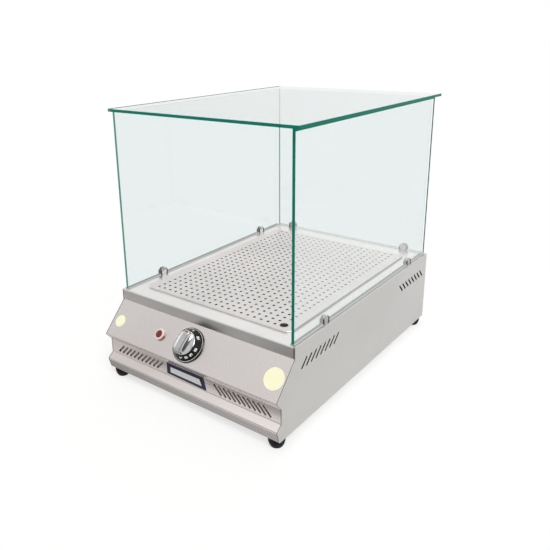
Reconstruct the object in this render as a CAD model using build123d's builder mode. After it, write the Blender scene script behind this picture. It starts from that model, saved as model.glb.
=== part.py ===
"""Counter-top hamburger steamer: a folded stainless steel base with a water pan,
a lift-out perforated tray and a lift-off glass case that is open at the front.

Millimetres, +Z up. The origin is under the middle of the casing and the case's top
pane, on the surface that the feet stand on. The control panel faces -Y.
"""
from build123d import *
from math import atan2, cos, sin
import os

os.makedirs("parts", exist_ok=True)

# Steel body
body_width = 400.0
body_depth = 524.0
body_height = 149.0
sheet = 1.0
bend = 2.0

# Front outline: how far each fold stands out from the deck's lip, and how far below the deck it lies
lip_drop = 22.0
panel_out = 50.0
panel_drop = 76.0
recess_out = 37.0
recess_top = 91.0
recess_low = 119.0
belly_out = 49.0
belly_drop = 128.0
belly_bend = 4.0
toe_out = 43.0

# Flanges that join the sheets
lap = 10.0
rear_lip = 12.0
bottom_flange = 30.0
side_flange = 14.0

# Ventilation slots, leaning at 45 degrees towards the middle of their face
slot_length = 23.0
slot_width = 4.0
slot_lean = 45.0
front_slot_count = 11
front_slot_pitch = 10.3
front_slot_from_side = 80.0
side_slot_count = 8
side_slot_pitch = 14.6
side_slot_from_end = 78.0
side_slot_drop = 38.0

# Perforated tray, laid over the deck's opening and set back from the deck's edges
tray_side_margin = 31.0
tray_front_margin = 32.0
tray_back_margin = 48.0
tray_rise = 3.0
tray_corner = 14.0
tray_seat = 9.0
perforation_width = 4.4
perforation_pitch = 28.8
perforation_edge = 20.0
lift_hole_width = 15.0
lift_hole_from_right = 24.0
lift_hole_from_front = 17.5

# Water pan and its heating element
pan_depth = 62.0
pan_gap = 2.0
pan_flange = 10.0
pan_bend = 6.0
element_tube = 8.0
element_pitch = 50.0
element_turn = 18.0
element_lift = 15.0
element_inset = 45.0
terminal_reach = 14.0
terminal_pin = 4.0
bushing_width = 12.0
bushing_collar = 18.0
bushing_reach = 8.0
rest_foot = 8.0
rest_from_turn = 36.0

# Glass case
glass = 5.0
pane_height = 340.0
glass_arris = 0.5
top_corner = 2.5
side_inset = 6.0
front_inset = 5.0
back_inset = 3.0
top_over_side = 9.0
top_over_front = 4.0
top_over_back = 12.0

# Clips that hold the lower edges of the panes
clip_sheet = 1.0
clip_length = 14.0
clip_height = 14.0
clip_corner = 4.0
side_clip_from_front = 102.0
side_clip_from_back = 86.0
back_clip_from_side = 52.0

# Feet
foot_height = 18.0
foot_width = 29.0
foot_base = 20.0
foot_inset_side = 16.0
foot_inset_front = 15.0
foot_inset_back = 16.0
foot_recess = 9.0
foot_recess_depth = 8.0
foot_shoulder = 13.5

# Thermostat and knob
knob_x = -5.0
knob_down = 37.5
dial_width = 63.0
dial_height = 2.5
skirt_width = 57.0
skirt_top_width = 46.0
skirt_height = 11.0
skirt_rim = 2.0
cap_width = 44.0
cap_height = 1.5
grip_width = 13.0
grip_height = 9.0
grip_taper = 4.0
grip_round = 1.2
grip_lean = 7.0
shaft_width = 6.0
shaft_depth = 16.0
thermostat_width = 38.0
thermostat_height = 34.0
thermostat_length = 24.0
thermostat_plate = 2.0
thermostat_neck = 6.0
thermostat_screw_pitch = 28.0
bush_width = 10.0
bush_out = 1.2
bulb_width = 6.0
bulb_length = 80.0
capillary = 2.0
capillary_bend = 6.0
capillary_gland_width = 8.0
capillary_nut_width = 13.0

# Indicator lamp
lamp_x = -74.5
lamp_down = 38.0
lamp_bezel_width = 22.0
lamp_bezel_height = 4.5
lamp_lens_width = 14.0
lamp_barrel_width = 12.0
lamp_length = 24.0
lamp_nut_width = 19.8
lamp_tab_length = 9.0
lens_dome = 1.5

# Mains inlet and terminals
gland_from_side = 60.0
gland_up = 48.0
gland_out = 9.0
gland_hexagon_height = 4.5
gland_body_width = 22.4
gland_cap_width = 17.6
gland_nut_width = 24.0
gland_thread = 16.0
cable_width = 8.2
terminal_from_back = 82.5
terminal_poles = 3
terminal_pitch = 12.0
terminal_hole = 6.0
terminal_depth = 20.0
terminal_height = 16.0
earth_from_terminal = 40.0
earth_height = 15.0

# Clearances
rest_gap = 0.2
knob_gap = 0.5
running_gap = 0.05
fit_gap = 0.3

# Screws
screw = 4.0
screw_head = 6.8
screw_head_height = 1.4
casing_screw_edge = 22.0
casing_screw_length = 8.0
foot_bolt = 5.0
foot_bolt_head = 7.6
foot_bolt_head_height = 2.5
foot_nut_width = 9.0
foot_nut_height = 4.0

# Places worked out from the sizes above
overall_depth = panel_out + body_depth - back_inset + top_over_back
front = panel_out - overall_depth / 2
back = front + body_depth
deck = foot_height + body_height
inner_width = body_width - 2 * sheet
panel_slope = atan2(panel_drop - lip_drop, panel_out)
lip_end = deck - lip_drop + sheet * (panel_drop - lip_drop) / panel_out + 2 * fit_gap

tray_width = body_width - 2 * tray_side_margin
tray_depth = body_depth - tray_front_margin - tray_back_margin
tray_middle = front + tray_front_margin + tray_depth / 2
opening_width = tray_width - 2 * tray_seat
opening_depth = tray_depth - 2 * tray_seat
opening_corner = tray_corner - tray_seat / 2
pan_floor = deck - sheet - pan_depth
pan_front = tray_middle - opening_depth / 2 - pan_gap
element_z = pan_floor + element_lift
bushing_x = 1.5 * element_pitch

pane_foot = deck + clip_sheet + rest_gap
pane_x = body_width / 2 - side_inset
pane_front = front + front_inset
pane_back = back - back_inset
top_z = deck + pane_height


def fold(points, radii, left):
    """Section of a sheet folded along its outer points, (y, z); the sheet lies to their left."""
    with BuildSketch(Plane.YZ.offset(left)) as section:
        with BuildLine():
            FilletPolyline(*points, radius=radii)
            offset(amount=sheet, side=Side.LEFT)
        make_face()
    return section.sketch


def on_panel(x, down):
    """Plane on the sloping control panel: local x to the right, local y up the slope, z outwards."""
    origin = (x, front - down * cos(panel_slope), deck - lip_drop - down * sin(panel_slope))
    return Plane(origin=origin, x_dir=(1, 0, 0), z_dir=(0, -sin(panel_slope), cos(panel_slope)))


def save(piece, name):
    """Name a finished piece and write it."""
    piece.part.label = name
    export_step(piece.part, f"parts/{name}.step")


knob_plane = on_panel(knob_x, knob_down)
lamp_plane = on_panel(lamp_x, lamp_down)
foot_x = body_width / 2 - foot_inset_side
foot_front = front - toe_out + foot_inset_front
foot_back = back - foot_inset_back
foot_places = [(x, y) for y in (foot_front, foot_back) for x in (-foot_x, foot_x)]
foot_names = ["foot_front_left", "foot_front_right", "foot_rear_left", "foot_rear_right"]

screw_x = inner_width / 2 - side_flange / 2
screw_heights = [foot_height + casing_screw_edge, (foot_height + deck) / 2, deck - casing_screw_edge]
screw_places = [(x, z) for x in (-screw_x, screw_x) for z in screw_heights]
gland_x = body_width / 2 - gland_from_side
gland_z = foot_height + gland_up
terminal_y = back - terminal_from_back

panel_head = (front, deck - lip_drop)
panel_nose = (front - panel_out, deck - panel_drop)
recess_head = (front - recess_out, deck - recess_top)
recess_foot = (front - recess_out, deck - recess_low)
belly = (front - belly_out, deck - belly_drop)
toe = (front - toe_out, foot_height)
front_outline = [panel_nose, recess_head, recess_foot, belly, toe]
front_bends = [bend, bend, bend, belly_bend, bend]

# Front fascia: one sheet folded into panel, return, slotted recess, belly and bottom flange
with BuildPart() as front_fascia:
    lap_top = (front + sheet, lip_end + lap)
    lap_foot = (front + sheet, lip_end - 2 * fit_gap)
    flange_end = (toe[0] + bottom_flange, foot_height)
    fascia_path = [lap_top, lap_foot, *front_outline, flange_end]
    extrude(fold(fascia_path, [sheet, *front_bends], -inner_width / 2), amount=inner_width)
    with BuildSketch(Plane.XZ.offset(-recess_head[0])) as recess_slots:
        for hand in (-1, 1):
            slots_middle = body_width / 2 - front_slot_from_side
            with Locations((hand * slots_middle, deck - (recess_top + recess_low) / 2)):
                with GridLocations(front_slot_pitch, 0, front_slot_count, 1):
                    Rectangle(slot_length, slot_width, rotation=-hand * slot_lean)
    extrude(amount=2 * sheet, both=True, mode=Mode.SUBTRACT)
    with BuildSketch(knob_plane) as thermostat_holes:
        Circle(bush_width / 2 + fit_gap)
        with GridLocations(thermostat_screw_pitch, 0, 2, 1):
            Circle(screw / 2 + fit_gap)
    extrude(amount=-3 * sheet, mode=Mode.SUBTRACT)
    with BuildSketch(lamp_plane) as lamp_hole:
        Circle(lamp_barrel_width / 2 + fit_gap)
    extrude(amount=-3 * sheet, mode=Mode.SUBTRACT)
    with BuildSketch(Plane.XY.offset(foot_height)) as front_bolt_holes:
        with Locations(*foot_places[:2]):
            Circle(foot_bolt / 2 + fit_gap)
    extrude(amount=sheet, mode=Mode.SUBTRACT)
save(front_fascia, "front_fascia")

# Deck: the top sheet with its front lip, rear lip and rounded tray opening
with BuildPart() as deck_frame:
    deck_path = [(back, deck - rear_lip), (back, deck), (front, deck), (front, lip_end)]
    extrude(fold(deck_path, [bend, bend], -inner_width / 2), amount=inner_width)
    with BuildSketch(Plane.XY.offset(deck)) as tray_opening:
        with Locations((0, tray_middle)):
            RectangleRounded(opening_width, opening_depth, opening_corner)
    extrude(amount=-sheet, mode=Mode.SUBTRACT)
save(deck_frame, "deck_frame")

# Side panels: flat cheeks cut to the front outline, with flanges turned in at top, bottom and rear
flange_front = toe[0] + bottom_flange + sheet
for side_name, hand in (("left_side_panel", -1), ("right_side_panel", 1)):
    cheek_x = hand * (body_width - sheet) / 2
    flange_x = hand * (inner_width - side_flange) / 2
    floor_flange_x = hand * (inner_width - bottom_flange) / 2
    with BuildPart() as side_panel:
        with BuildSketch(Plane.YZ.offset(cheek_x - sheet / 2)) as cheek:
            with BuildLine():
                FilletPolyline(
                    (front, deck), panel_head, *front_outline, (back, foot_height), (back, deck),
                    radius=[bend, bend, *front_bends, bend, bend], close=True)
            make_face()
            for end, slots_middle in ((-1, front + side_slot_from_end), (1, back - side_slot_from_end)):
                with Locations((slots_middle, deck - side_slot_drop)):
                    with GridLocations(side_slot_pitch, 0, side_slot_count, 1):
                        Rectangle(slot_length, slot_width, rotation=-end * slot_lean, mode=Mode.SUBTRACT)
        extrude(amount=sheet)
        top_flange_depth = back - front - 4 * sheet - lap
        with Locations((flange_x, back - 2 * sheet - top_flange_depth / 2, deck - 1.5 * sheet)):
            Box(side_flange, top_flange_depth, sheet)
        floor_flange_depth = back - 2 * sheet - flange_front
        with Locations((floor_flange_x, flange_front + floor_flange_depth / 2, foot_height + sheet / 2)):
            Box(bottom_flange, floor_flange_depth, sheet)
        rear_flange_height = body_height - 4 * sheet
        with Locations((flange_x, back - 2.5 * sheet, foot_height + 2 * sheet + rear_flange_height / 2)):
            Box(side_flange, sheet, rear_flange_height)
        with Locations((hand * foot_x, foot_back, foot_height + sheet / 2)):
            Cylinder(foot_bolt / 2 + fit_gap, 2 * sheet, mode=Mode.SUBTRACT)
        with Locations(*[(hand * screw_x, back - 2.5 * sheet, z) for z in screw_heights]):
            Cylinder(screw / 2 + fit_gap, 2 * sheet, rotation=(90, 0, 0), mode=Mode.SUBTRACT)
    save(side_panel, side_name)

# Back panel: a flat sheet between the cheeks, tucked behind the deck's rear lip
panel_base = foot_height + 2 * sheet
panel_head_z = deck - sheet - bend
with BuildPart() as back_panel:
    with BuildSketch(Plane.XZ.offset(-(back - sheet))) as back_sheet:
        with Locations((0, (panel_base + panel_head_z) / 2)):
            Rectangle(inner_width, panel_head_z - panel_base)
        with Locations(*screw_places):
            Circle(screw / 2 + fit_gap, mode=Mode.SUBTRACT)
        with Locations((gland_x, gland_z)):
            Circle(gland_thread / 2 + fit_gap, mode=Mode.SUBTRACT)
    extrude(amount=sheet)
save(back_panel, "back_panel")

# Base plate, resting on the bottom flanges
base_front = toe[0] + bend + sheet
with BuildPart() as base_plate:
    with BuildSketch(Plane.XY.offset(foot_height + sheet)) as base_sheet:
        with Locations((0, (base_front + back - sheet) / 2)):
            Rectangle(inner_width, back - sheet - base_front)
        with Locations(*foot_places):
            Circle(foot_bolt / 2 + fit_gap, mode=Mode.SUBTRACT)
    extrude(amount=sheet)
save(base_plate, "base_plate")

# Water pan: a deep tray hung from the deck by its flange
pan_width = opening_width + 2 * pan_gap
pan_length = opening_depth + 2 * pan_gap
pan_corner = opening_corner + pan_gap
pan_brim = deck - sheet
with BuildPart() as water_pan:
    with BuildSketch(Plane.XY.offset(pan_brim)) as pan_outline:
        with Locations((0, tray_middle)):
            RectangleRounded(pan_width + 2 * sheet, pan_length + 2 * sheet, pan_corner + sheet)
    extrude(amount=-(pan_depth + sheet))
    fillet(faces().sort_by(Axis.Z)[0].edges(), radius=pan_bend)
    offset(amount=-sheet, openings=faces().sort_by(Axis.Z)[-1])
    with BuildSketch(Plane.XY.offset(pan_brim)) as brim:
        with Locations((0, tray_middle)):
            RectangleRounded(pan_width + 2 * pan_flange, pan_length + 2 * pan_flange, pan_corner + pan_flange)
            RectangleRounded(pan_width, pan_length, pan_corner, mode=Mode.SUBTRACT)
    extrude(amount=-sheet)
    with BuildSketch(Plane.XZ.offset(-pan_front)) as bushing_holes:
        with Locations((-bushing_x, element_z), (bushing_x, element_z)):
            Circle(bushing_width / 2)
        with Locations((element_pitch, element_z)):
            Circle(capillary_gland_width / 2 + running_gap)
    extrude(amount=3 * sheet, both=True, mode=Mode.SUBTRACT)
save(water_pan, "water_pan")

# Heating element: one tube bent into four legs, with both ends through the pan's front wall
element_head = pan_front + element_inset
element_tail = pan_front + pan_length - element_inset
wall_front = pan_front - sheet
element_start = wall_front - terminal_reach
element_route = [
    (-bushing_x, element_start), (-bushing_x, element_tail),
    (-0.5 * element_pitch, element_tail), (-0.5 * element_pitch, element_head),
    (0.5 * element_pitch, element_head), (0.5 * element_pitch, element_tail),
    (bushing_x, element_tail), (bushing_x, element_start)]
with BuildPart() as heating_element:
    with BuildLine(Plane.XY.offset(element_z)) as element_path:
        FilletPolyline(*element_route, radius=element_turn)
    with BuildSketch(Plane(origin=element_path.line @ 0, z_dir=element_path.line % 0)) as tube:
        Circle(element_tube / 2)
    sweep()
    with Locations(
            (-bushing_x, element_start - terminal_pin, element_z),
            (bushing_x, element_start - terminal_pin, element_z)):
        Cylinder(terminal_pin / 2, 2 * terminal_pin, rotation=(90, 0, 0))
save(heating_element, "heating_element")

# Brass bushings that seal the element's ends in the wall: a collar inside and a hexagon nut outside
with BuildPart() as element_bushings:
    with BuildSketch(Plane.XZ.offset(-pan_front)) as collars:
        with Locations((-bushing_x, element_z), (bushing_x, element_z)):
            Circle(bushing_collar / 2)
    extrude(amount=-sheet * 3)
    with BuildSketch(Plane.XZ.offset(-pan_front)) as necks:
        with Locations((-bushing_x, element_z), (bushing_x, element_z)):
            Circle(bushing_width / 2 - running_gap)
    extrude(amount=sheet + bushing_reach)
    with BuildSketch(Plane.XZ.offset(-wall_front)) as hexagons:
        with Locations((-bushing_x, element_z), (bushing_x, element_z)):
            RegularPolygon(bushing_collar / 2, 6)
    extrude(amount=bushing_reach / 2)
    with BuildSketch(Plane.XZ.offset(-pan_front)) as bores:
        with Locations((-bushing_x, element_z), (bushing_x, element_z)):
            Circle(element_tube / 2 + running_gap)
    extrude(amount=4 * bushing_reach, both=True, mode=Mode.SUBTRACT)
save(element_bushings, "element_bushings")

# Rests: two folded strips that carry the element above the pan's floor
rest_width = 2 * (bushing_x + element_tube)
rest_top = element_z - element_tube / 2
with BuildPart() as element_rests:
    for y in (element_head + rest_from_turn, element_tail - rest_from_turn):
        with Locations((0, y, (pan_floor + rest_top) / 2)):
            Box(rest_width, sheet, rest_top - pan_floor)
        with Locations((0, y + rest_foot / 2, pan_floor + sheet / 2)):
            Box(rest_width, rest_foot, sheet)
save(element_rests, "element_rests")

# Perforated tray: a shallow lid with a turned-down edge, a grid of punchings and one lifting hole.
# One punching in four is cut, six-sided; the real tray has them at half this pitch each way.
perforation_columns = 1 + int((tray_width - 2 * perforation_edge) / perforation_pitch)
perforation_rows = 1 + int((tray_depth - 2 * perforation_edge) / perforation_pitch)
lift_x = tray_width / 2 - lift_hole_from_right
lift_y = tray_middle - tray_depth / 2 + lift_hole_from_front
with BuildPart() as perforated_tray:
    with BuildSketch(Plane.XY.offset(deck + rest_gap)) as tray_outline:
        with Locations((0, tray_middle)):
            RectangleRounded(tray_width, tray_depth, tray_corner)
    extrude(amount=tray_rise - rest_gap)
    fillet(faces().sort_by(Axis.Z)[-1].edges(), radius=sheet)
    with BuildSketch(Plane.XY.offset(deck + rest_gap)) as tray_hollow:
        with Locations((0, tray_middle)):
            RectangleRounded(tray_width - 2 * sheet, tray_depth - 2 * sheet, tray_corner - sheet)
    extrude(amount=tray_rise - rest_gap - sheet, mode=Mode.SUBTRACT)
    with BuildSketch(Plane.XY.offset(deck + tray_rise)) as punchings:
        with Locations((0, tray_middle)):
            with GridLocations(perforation_pitch, perforation_pitch, perforation_columns, perforation_rows):
                RegularPolygon(perforation_width / 2, 6)
        with Locations((lift_x, lift_y)):
            Circle(lift_hole_width / 2)
    extrude(amount=-2 * sheet, mode=Mode.SUBTRACT)
save(perforated_tray, "perforated_tray")

# Glass case: two sides, a back between them and a top that overhangs all three
for side_name, hand in (("glass_left", -1), ("glass_right", 1)):
    with BuildPart() as side_pane:
        with Locations((hand * (pane_x - glass / 2), (pane_front + pane_back) / 2, (pane_foot + top_z) / 2)):
            Box(glass, pane_back - pane_front, top_z - pane_foot)
        chamfer(side_pane.edges().filter_by(Axis.Z), length=glass_arris)
    save(side_pane, side_name)

with BuildPart() as glass_back:
    with Locations((0, pane_back - glass / 2, (pane_foot + top_z) / 2)):
        Box(2 * (pane_x - glass), glass, top_z - pane_foot)
save(glass_back, "glass_back")

with BuildPart() as glass_top:
    with BuildSketch(Plane.XY.offset(top_z)) as top_outline:
        top_depth = pane_back + top_over_back - pane_front + top_over_front
        with Locations((0, pane_front - top_over_front + top_depth / 2)):
            RectangleRounded(2 * (pane_x + top_over_side), top_depth, top_corner)
    extrude(amount=glass)
    chamfer(faces().sort_by(Axis.Z)[-1].edges(), length=glass_arris)
save(glass_top, "glass_top")

# Clips: six steel channels on the deck, each straddling the lower edge of a pane
channel_inside = glass + 2 * fit_gap
channel_outside = channel_inside + 2 * clip_sheet
clip_x = pane_x - glass / 2
clip_y = pane_back - glass / 2
side_clip_rows = (front + side_clip_from_front, back - side_clip_from_back)
side_clip_places = [(x, y) for x in (-clip_x, clip_x) for y in side_clip_rows]
back_clip_places = [(hand * (body_width / 2 - back_clip_from_side), clip_y) for hand in (-1, 1)]
with BuildPart() as glass_clips:
    for turn, places in ((0, side_clip_places), (90, back_clip_places)):
        for x, y in places:
            clip_plane = Plane(origin=(x, y, deck)).rotated((0, 0, turn))
            with BuildSketch(Plane(clip_plane.origin, x_dir=clip_plane.y_dir, z_dir=clip_plane.x_dir)) as tab:
                with Locations((0, clip_height / 2)):
                    Rectangle(clip_length, clip_height)
                fillet(tab.vertices().group_by(Axis.Z)[-1], radius=clip_corner)
            extrude(amount=channel_outside / 2, both=True)
            with Locations(clip_plane * Location((0, 0, clip_sheet + clip_height / 2))):
                Box(channel_inside, 2 * clip_length, clip_height, mode=Mode.SUBTRACT)
save(glass_clips, "glass_clips")

# Thermostat: a closed switch box behind the panel, with its plate against the sheet and a bush for the shaft
plate_top = -sheet
plate_foot = plate_top - thermostat_plate
box_top = plate_foot - thermostat_neck
shaft_foot = -shaft_depth
with BuildPart() as thermostat_body:
    with BuildSketch(knob_plane.offset(plate_top)) as switch_plate:
        RectangleRounded(thermostat_width + 4 * thermostat_plate, thermostat_height / 2, thermostat_plate)
        with GridLocations(thermostat_screw_pitch, 0, 2, 1):
            Circle(screw / 2 + fit_gap, mode=Mode.SUBTRACT)
    extrude(amount=-thermostat_plate)
    with BuildSketch(knob_plane.offset(plate_foot)) as switch_neck:
        Rectangle(thermostat_width / 2, thermostat_height / 2)
    extrude(amount=-thermostat_neck)
    with BuildSketch(knob_plane.offset(box_top)) as switch_box:
        RectangleRounded(thermostat_width, thermostat_height, thermostat_plate)
    extrude(amount=-thermostat_length)
    with BuildSketch(knob_plane.offset(plate_top)) as bush:
        Circle(bush_width / 2)
    extrude(amount=sheet + bush_out)
    with BuildSketch(knob_plane.offset(bush_out)) as bush_bore:
        Circle(shaft_width / 2 + running_gap)
    extrude(amount=shaft_foot - fit_gap - bush_out, mode=Mode.SUBTRACT)
save(thermostat_body, "thermostat_body")

# Dial ring: a flat black flange on the panel, held by the two thermostat screws sunk in its face
with BuildPart() as dial_ring:
    with BuildSketch(knob_plane) as ring:
        Circle(dial_width / 2)
        Circle(bush_width / 2 + fit_gap, mode=Mode.SUBTRACT)
        with GridLocations(thermostat_screw_pitch, 0, 2, 1):
            Circle(screw / 2 + fit_gap, mode=Mode.SUBTRACT)
    extrude(amount=dial_height)
    with BuildSketch(knob_plane.offset(dial_height)) as head_sinks:
        with GridLocations(thermostat_screw_pitch, 0, 2, 1):
            Circle(screw_head / 2 + fit_gap)
    extrude(amount=-screw_head_height - running_gap, mode=Mode.SUBTRACT)
save(dial_ring, "dial_ring")

with BuildPart() as thermostat_screws:
    with BuildSketch(knob_plane.offset(dial_height - running_gap)) as screw_heads:
        with GridLocations(thermostat_screw_pitch, 0, 2, 1):
            Circle(screw_head / 2)
    extrude(amount=-screw_head_height)
    with BuildSketch(knob_plane.offset(dial_height - running_gap)) as screw_shanks:
        with GridLocations(thermostat_screw_pitch, 0, 2, 1):
            Circle(screw / 2)
    extrude(amount=plate_foot - 2 * thermostat_plate - dial_height)
save(thermostat_screws, "thermostat_screws")

# Knob: a black skirt that carries the scale, with a bright cap and a straight grip across it
skirt_foot = dial_height + knob_gap
skirt_top = skirt_foot + skirt_height
cap_top = skirt_top + cap_height
hub_depth = skirt_top - cap_height
with BuildPart() as knob_skirt:
    skirt_section_plane = Plane(knob_plane.origin, x_dir=knob_plane.x_dir, z_dir=-knob_plane.y_dir)
    with BuildSketch(skirt_section_plane) as skirt_section:
        with BuildLine():
            Polyline(
                (shaft_width / 2, skirt_foot), (skirt_width / 2, skirt_foot),
                (skirt_width / 2, skirt_foot + skirt_rim), (skirt_top_width / 2, skirt_top),
                (0, skirt_top), (0, hub_depth), (shaft_width / 2, hub_depth), close=True)
        make_face()
    revolve(axis=Axis(knob_plane.origin, knob_plane.z_dir))
save(knob_skirt, "knob_skirt")

with BuildPart() as knob_cap:
    with BuildSketch(knob_plane.offset(skirt_top)) as cap_disc:
        Circle(cap_width / 2)
    extrude(amount=cap_height)
    with BuildSketch(knob_plane.offset(cap_top)) as grip_foot:
        SlotOverall(cap_width - 2 * cap_height, grip_width, rotation=90 - grip_lean)
    extrude(amount=grip_height, taper=grip_taper)
    fillet(faces().sort_by(Axis(knob_plane.origin, knob_plane.z_dir))[-1].edges(), radius=grip_round)
save(knob_cap, "knob_cap")

with BuildPart() as thermostat_shaft:
    with BuildSketch(knob_plane.offset(hub_depth)) as shaft_end:
        Circle(shaft_width / 2)
    extrude(amount=shaft_foot - hub_depth)
save(thermostat_shaft, "thermostat_shaft")

# Sensor bulb in the water, its gland in the pan's wall, and the capillary that leads to the thermostat
bulb_x = element_pitch
bulb_start = pan_front + 3 * bulb_width
with BuildPart() as sensor_bulb:
    with BuildSketch(Plane.XZ.offset(-bulb_start)) as bulb_end:
        with Locations((bulb_x, element_z)):
            Circle(bulb_width / 2)
    extrude(amount=-bulb_length)
    fillet(sensor_bulb.edges().filter_by(GeomType.CIRCLE), radius=bulb_width / 3)
save(sensor_bulb, "sensor_bulb")

with BuildPart() as capillary_gland:
    with BuildSketch(Plane.XZ.offset(-wall_front)) as gland_hexagon:
        with Locations((bulb_x, element_z)):
            RegularPolygon(capillary_nut_width / 2, 6)
    extrude(amount=capillary_gland_width / 2)
    with BuildSketch(Plane.XZ.offset(-pan_front - capillary_gland_width / 2)) as gland_neck:
        with Locations((bulb_x, element_z)):
            Circle(capillary_gland_width / 2)
    extrude(amount=capillary_gland_width / 2 + sheet)
    with BuildSketch(Plane.XZ.offset(-pan_front - capillary_gland_width / 2)) as gland_bore:
        with Locations((bulb_x, element_z)):
            Circle(capillary / 2 + running_gap)
    extrude(amount=2 * capillary_gland_width, mode=Mode.SUBTRACT)
save(capillary_gland, "capillary_gland")

capillary_socket = knob_plane * Location((0, 0, box_top - thermostat_length))
capillary_way_out = knob_plane * Location((0, 0, box_top - thermostat_length - capillary_bend * 3))
socket_point = capillary_socket.position
way_out_point = capillary_way_out.position
with BuildPart() as capillary_tube:
    with BuildLine() as capillary_path:
        FilletPolyline(
            (bulb_x, bulb_start, element_z), (bulb_x, wall_front - 3 * capillary_bend, element_z),
            (bulb_x / 2, way_out_point.Y, way_out_point.Z), tuple(way_out_point), tuple(socket_point),
            radius=capillary_bend)
    capillary_start = Plane(origin=capillary_path.line @ 0, z_dir=capillary_path.line % 0)
    with BuildSketch(capillary_start) as capillary_section:
        Circle(capillary / 2)
    sweep()
save(capillary_tube, "capillary_tube")

# Indicator lamp: a pale bezel with its barrel, a red domed lens and a nut behind the panel
lens_seat = lamp_bezel_height / 4
with BuildPart() as lamp_bezel:
    with BuildSketch(lamp_plane) as bezel_ring:
        Circle(lamp_bezel_width / 2)
    extrude(amount=lamp_bezel_height)
    chamfer(faces().sort_by(Axis(lamp_plane.origin, lamp_plane.z_dir))[-1].edges(), length=lens_seat)
    with BuildSketch(lamp_plane) as barrel:
        Circle(lamp_barrel_width / 2)
    extrude(amount=-lamp_length)
    with BuildSketch(lamp_plane.offset(lamp_bezel_height)) as lens_well:
        Circle(lamp_lens_width / 2)
    extrude(amount=lens_seat - lamp_bezel_height, mode=Mode.SUBTRACT)
    with BuildSketch(lamp_plane.offset(-lamp_length)) as lamp_tabs:
        with GridLocations(lamp_barrel_width / 2, 0, 2, 1):
            Rectangle(sheet, lamp_barrel_width / 2)
    extrude(amount=-lamp_tab_length)
save(lamp_bezel, "lamp_bezel")

with BuildPart() as lamp_lens:
    lens_section_plane = Plane(lamp_plane.origin, x_dir=lamp_plane.x_dir, z_dir=-lamp_plane.y_dir)
    lens_radius = lamp_lens_width / 2 - running_gap
    with BuildSketch(lens_section_plane) as lens_section:
        with BuildLine():
            lens_top = (0, lamp_bezel_height + lens_dome)
            TangentArc(lens_top, (lens_radius, lamp_bezel_height), tangent=(1, 0))
            Polyline((lens_radius, lamp_bezel_height), (lens_radius, lens_seat), (0, lens_seat), lens_top)
        make_face()
    revolve(axis=Axis(lamp_plane.origin, lamp_plane.z_dir))
save(lamp_lens, "lamp_lens")

with BuildPart() as lamp_nut:
    with BuildSketch(lamp_plane.offset(-sheet)) as nut_outline:
        RegularPolygon(lamp_nut_width / 2, 6)
        Circle(lamp_barrel_width / 2 + running_gap, mode=Mode.SUBTRACT)
    extrude(amount=-lamp_bezel_height)
save(lamp_nut, "lamp_nut")

# Mains inlet: a nylon cable gland through the back panel with its lock nut inside; the cord is not part of it
gland_face = back - sheet
gland_point = (gland_x, gland_z)
with BuildPart() as cable_gland:
    with BuildSketch(Plane.XZ.offset(-gland_face)) as gland_body:
        with Locations(gland_point):
            RegularPolygon(gland_body_width / 2, 6)
    extrude(amount=-gland_hexagon_height)
    with BuildSketch(Plane.XZ.offset(-gland_face)) as gland_cap:
        with Locations(gland_point):
            Circle(gland_cap_width / 2)
    extrude(amount=-gland_out)
    fillet(cable_gland.faces().sort_by(Axis.Y)[-1].edges(), radius=gland_out / 4)
    with BuildSketch(Plane.XZ.offset(-gland_face)) as gland_stem:
        with Locations(gland_point):
            Circle(gland_thread / 2)
    extrude(amount=gland_out + sheet)
    with BuildSketch(Plane.XZ.offset(-gland_face)) as cable_way:
        with Locations(gland_point):
            Circle(cable_width / 2)
    extrude(amount=2 * gland_out + sheet, both=True, mode=Mode.SUBTRACT)
save(cable_gland, "cable_gland")

with BuildPart() as gland_nut:
    with BuildSketch(Plane.XZ.offset(-gland_face + sheet)) as gland_nut_outline:
        with Locations(gland_point):
            RegularPolygon(gland_nut_width / 2, 6)
            Circle(gland_thread / 2 + running_gap, mode=Mode.SUBTRACT)
    extrude(amount=gland_hexagon_height)
save(gland_nut, "gland_nut")

# Terminal block and earth stud on the base plate, near the inlet
floor_z = foot_height + 2 * sheet
with BuildPart() as terminal_block:
    with BuildSketch(Plane.XY.offset(floor_z)) as block_outline:
        with Locations((gland_x, terminal_y)):
            RectangleRounded(terminal_poles * terminal_pitch, terminal_depth, sheet)
    extrude(amount=terminal_height)
    with BuildSketch(Plane.XY.offset(floor_z + terminal_height)) as block_walls:
        with Locations((gland_x, terminal_y)):
            with GridLocations(terminal_pitch, terminal_depth / 2, terminal_poles, 2):
                Circle(terminal_hole / 2)
    extrude(amount=-terminal_height / 2, mode=Mode.SUBTRACT)
save(terminal_block, "terminal_block")

with BuildPart() as earth_stud:
    with BuildSketch(Plane.XY.offset(floor_z)) as earth_nut:
        with Locations((gland_x, terminal_y - earth_from_terminal)):
            RegularPolygon(foot_nut_width / 2, 6)
    extrude(amount=foot_nut_height)
    with BuildSketch(Plane.XY.offset(floor_z)) as stud:
        with Locations((gland_x, terminal_y - earth_from_terminal)):
            Circle(foot_bolt / 2)
    extrude(amount=earth_height)
save(earth_stud, "earth_stud")

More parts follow.
